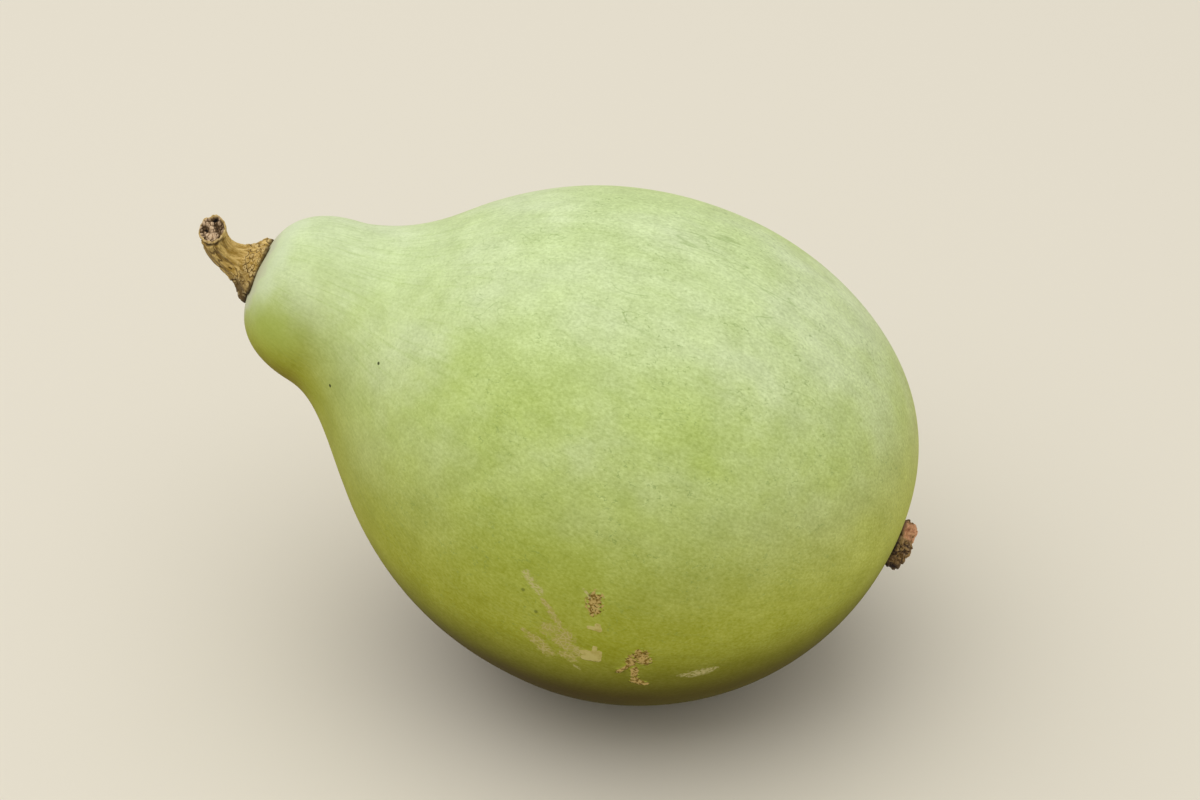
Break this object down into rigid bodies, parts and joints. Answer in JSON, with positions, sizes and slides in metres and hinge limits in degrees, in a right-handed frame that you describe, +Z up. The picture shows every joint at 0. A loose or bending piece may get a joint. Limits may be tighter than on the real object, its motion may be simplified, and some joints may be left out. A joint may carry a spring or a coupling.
{
  "type": "round bottle gourd",
  "caption": "Pale green round bottle gourd with a short neck and a dry bent stem, lying on its side on a small flat spot.",
  "frame": {"origin": "middle of the flat spot that the fruit lies on", "axes": "+Z up, +X from the stem end towards the blossom end, level; +Y the far side, away from the bend of the stem"},
  "size_m": [0.226, 0.1598, 0.1581],
  "materials": {
    "rind": "waxy pale green rind, satin, with fine darker flecks",
    "dry_stem": "dry woody tan, ribbed and warty, matte",
    "dried_blossom": "withered brown, matte"
  },
  "bodies": {
    "root": {"fruit": "rind", "stem": "dry_stem", "blossom_remnant": "dried_blossom"}
  },
  "joints": []
}
